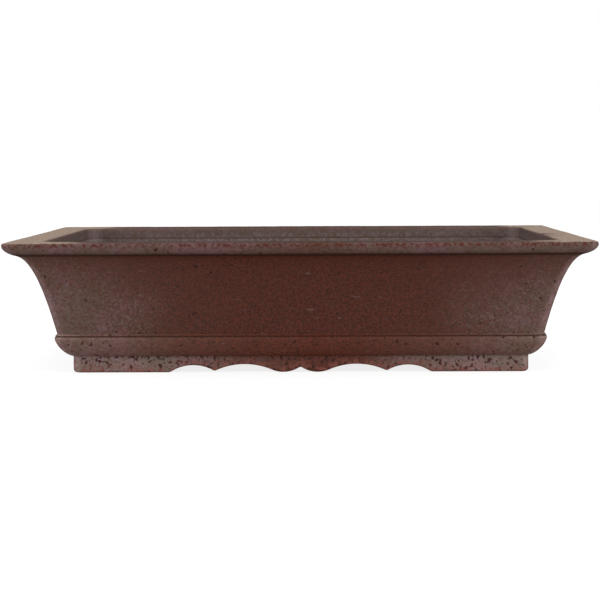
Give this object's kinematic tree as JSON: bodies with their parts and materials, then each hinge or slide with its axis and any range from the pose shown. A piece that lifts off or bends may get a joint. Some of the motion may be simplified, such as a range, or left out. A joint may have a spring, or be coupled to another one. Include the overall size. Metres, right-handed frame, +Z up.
{
  "type": "bonsai pot",
  "caption": "Low rectangular unglazed stoneware bonsai pot with flared walls, flat rim, rounded belt and scalloped feet.",
  "frame": {"origin": "middle of the pot's footprint, on the surface it stands on", "axes": "+X along the length, -Y out of the front, +Z up through the mouth"},
  "size_m": [0.45, 0.34, 0.1034],
  "materials": {
    "rim_stoneware": "satin",
    "wall_stoneware": "satin",
    "belt_stoneware": "satin",
    "foot_stoneware": "satin",
    "inner_stoneware": "matte"
  },
  "bodies": {
    "root": {"floor_slab": "inner_stoneware", "foot_front": "foot_stoneware", "foot_back": "foot_stoneware", "foot_left": "foot_stoneware", "foot_right": "foot_stoneware", "belt_front": "belt_stoneware", "belt_back": "belt_stoneware", "belt_left": "belt_stoneware", "belt_right": "belt_stoneware", "wall_front": "wall_stoneware", "wall_back": "wall_stoneware", "wall_left": "wall_stoneware", "wall_right": "wall_stoneware", "rim_front": "rim_stoneware", "rim_back": "rim_stoneware", "rim_left": "rim_stoneware", "rim_right": "rim_stoneware", "floor_coil_front": "inner_stoneware", "floor_coil_back": "inner_stoneware", "floor_coil_left": "inner_stoneware", "floor_coil_right": "inner_stoneware", "corner_coil_front_left": "inner_stoneware", "corner_coil_front_right": "inner_stoneware", "corner_coil_back_left": "inner_stoneware", "corner_coil_back_right": "inner_stoneware"}
  },
  "joints": []
}
